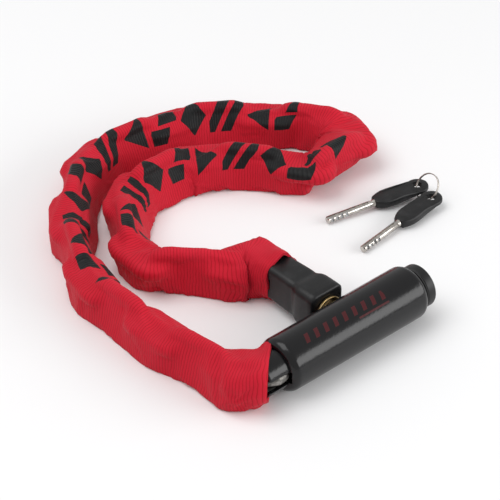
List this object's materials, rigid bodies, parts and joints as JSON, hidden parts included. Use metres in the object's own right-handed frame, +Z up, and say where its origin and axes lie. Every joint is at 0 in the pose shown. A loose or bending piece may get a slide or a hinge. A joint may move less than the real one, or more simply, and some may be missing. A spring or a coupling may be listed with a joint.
{
  "type": "chain lock",
  "caption": "Chain lock: cylinder lock body, steel chain in a ribbed red fabric sleeve with a bold black print, plug-in locking head, and keys on a split ring.",
  "frame": {"origin": "centre of the bottom of the bounding box, on the surface the lock lies on", "axes": "+X along the lock body from its chain end to its keyway, +Y the way the head pulls out, +Z up"},
  "size_m": [0.2622, 0.2726, 0.034],
  "materials": {
    "vinyl_black": "glossy moulded vinyl",
    "boot_black": "satin moulded plastic",
    "sleeve_red": "ribbed nylon weave",
    "chain_steel": "dull zinc-plated hardened steel",
    "steel": "machined",
    "brass": "machined",
    "nickel": "bright nickel plate",
    "rubber": "matt"
  },
  "bodies": {
    "lock_body": {"body_housing": "steel", "vinyl_jacket": "vinyl_black", "anchor_pin": "steel", "cylinder_screw": "steel", "keyway_bezel": "boot_black", "bezel_seal": "rubber", "cover_rivet": "steel", "cylinder_shell": "brass", "bolt_spring": "steel", "link_01": "chain_steel", "link_02": "chain_steel", "link_03": "chain_steel", "link_06": "chain_steel", "link_07": "chain_steel", "link_08": "chain_steel", "link_09": "chain_steel", "link_12": "chain_steel", "link_13": "chain_steel", "link_14": "chain_steel", "link_15": "chain_steel", "link_16": "chain_steel", "link_17": "chain_steel", "link_18": "chain_steel", "link_19": "chain_steel", "link_20": "chain_steel", "link_21": "chain_steel", "link_22": "chain_steel", "link_23": "chain_steel", "link_24": "chain_steel", "sleeve_lock_end": "sleeve_red", "sleeve_flex_1": "sleeve_red", "sleeve_side": "sleeve_red", "sleeve_flex_2": "sleeve_red", "sleeve_shoulder": "sleeve_red", "sleeve_tip": "sleeve_red", "sleeve_inner": "sleeve_red", "sleeve_head_end": "sleeve_red", "key_ring": "nickel"},
    "key_plug": {"cylinder_plug": "brass", "disc_pack": "brass", "guard_disc": "steel", "sidebar": "steel", "tail_cam": "steel", "plug_clip": "steel"},
    "bolt": {"locking_bolt": "steel"},
    "keyway_cover": {"dust_cover": "boot_black"},
    "head": {"locking_pin": "nickel", "head_washer": "brass", "head_clevis": "steel", "head_rivet": "steel", "head_boot": "boot_black"},
    "end_link": {"link_25": "chain_steel"},
    "flex_1_upright": {"link_04": "chain_steel"},
    "flex_1_flat": {"link_05": "chain_steel"},
    "flex_2_upright": {"link_10": "chain_steel"},
    "flex_2_flat": {"link_11": "chain_steel"},
    "key_1": {"key_1_bow": "boot_black", "key_1_blade": "nickel"},
    "key_2": {"key_2_bow": "boot_black", "key_2_blade": "nickel"}
  },
  "joints": [
    {"name": "plug_turn", "type": "hinge", "parent": "lock_body", "child": "key_plug", "pos_m": [0.0152, -0.11602, 0.017], "axis": [-1, 0, 0], "range_deg": [0, 90]},
    {"name": "bolt_throw", "type": "slide", "parent": "lock_body", "child": "bolt", "axis": [-1, 0, 0], "range_m": [0, 0.0026], "deforming": ["bolt_spring"]},
    {"name": "dust_cover_turn", "type": "hinge", "parent": "lock_body", "child": "keyway_cover", "pos_m": [0.03121, -0.11602, 0.0214], "axis": [-1, 0, 0], "range_deg": [0, 120]},
    {"name": "head_slide", "type": "slide", "parent": "lock_body", "child": "head", "axis": [0, 1, 0], "range_m": [0, 0.024], "deforming": ["sleeve_head_end"]},
    {"name": "end_link_swing", "type": "hinge", "parent": "head", "child": "end_link", "pos_m": [-0.02579, -0.03502, 0.017], "axis": [0, 0, 1], "range_deg": [0, 60.07]},
    {"name": "flex_1_upright_turn", "type": "hinge", "parent": "lock_body", "child": "flex_1_upright", "pos_m": [-0.11449, -0.03434, 0.017], "axis": [0, 0, 1], "range_deg": [-5, 3], "deforming": ["sleeve_flex_1"]},
    {"name": "flex_1_flat_turn", "type": "hinge", "parent": "lock_body", "child": "flex_1_flat", "pos_m": [-0.10978, 0.03004, 0.017], "axis": [0, 0, -1], "range_deg": [-8.57, 5.15]},
    {"name": "flex_2_upright_turn", "type": "hinge", "parent": "lock_body", "child": "flex_2_upright", "pos_m": [-0.02384, 0.12093, 0.017], "axis": [0, 0, 1], "range_deg": [-5, 3], "deforming": ["sleeve_flex_2"]},
    {"name": "flex_2_flat_turn", "type": "hinge", "parent": "lock_body", "child": "flex_2_flat", "pos_m": [0.04047, 0.11292, 0.017], "axis": [0, 0, -1], "range_deg": [-8.57, 5.15]},
    {"name": "key_1_swing", "type": "hinge", "parent": "lock_body", "child": "key_1", "pos_m": [0.11471, -0.03202, 0.0056], "axis": [0, 0, 1], "range_deg": [-12, 4]},
    {"name": "key_2_swing", "type": "hinge", "parent": "lock_body", "child": "key_2", "pos_m": [0.1117, -0.04762, 0.0056], "axis": [0, 0, 1], "range_deg": [-4, 12]}
  ],
  "couplings": [
    {"joint": "bolt_throw", "follows": "plug_turn", "m_per_rad": 0.0016552},
    {"joint": "end_link_swing", "follows": "head_slide", "rad_per_m": 43.666},
    {"joint": "flex_1_flat_turn", "follows": "flex_1_upright_turn", "ratio": 1.7095},
    {"joint": "flex_2_flat_turn", "follows": "flex_2_upright_turn", "ratio": 1.7095}
  ]
}
